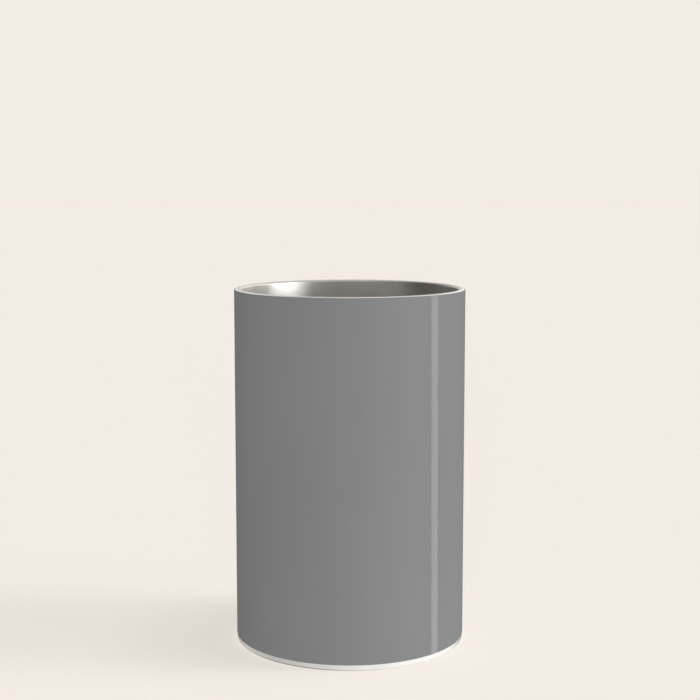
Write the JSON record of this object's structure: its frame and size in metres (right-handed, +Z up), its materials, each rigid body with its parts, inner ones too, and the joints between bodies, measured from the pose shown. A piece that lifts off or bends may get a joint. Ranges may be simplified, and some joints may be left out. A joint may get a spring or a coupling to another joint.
{
  "type": "insulated bottle chiller",
  "caption": "Straight-sided double-walled steel chiller that keeps one bottle of wine or champagne cold; grey printed wall, bare steel rim, foot and well.",
  "frame": {"origin": "centre of the footprint, on the underside of the pad that the chiller stands on", "axes": "+Z up along the vessel's axis, out of its mouth; +Y towards the seam of the printed film at the back; +X to the right as seen from the front"},
  "size_m": [0.12, 0.12, 0.1858],
  "materials": {
    "printed_film": "mid-grey print under a clear semi-gloss coat",
    "polished_steel": "polished stainless sheet",
    "brushed_steel": "satin stainless sheet, drawn vertically on the wall and spun on the floor",
    "pressed_steel": "dull as-pressed stainless sheet",
    "foil": "bright crinkled foil",
    "getter": "dark sintered pill",
    "seal_glass": "dark melted solder glass",
    "adhesive": "milky adhesive film",
    "silicone": "matt charcoal silicone"
  },
  "bodies": {
    "root": {"printed_film": "printed_film", "outer_shell": "polished_steel", "liner_wall": "brushed_steel", "liner_floor": "brushed_steel", "radiation_foil": "foil", "getter": "getter", "getter_clip": "pressed_steel", "vacuum_base": "pressed_steel", "seal_bead": "seal_glass", "base_cover": "polished_steel", "pad_adhesive": "adhesive", "base_pad": "silicone"}
  },
  "joints": []
}
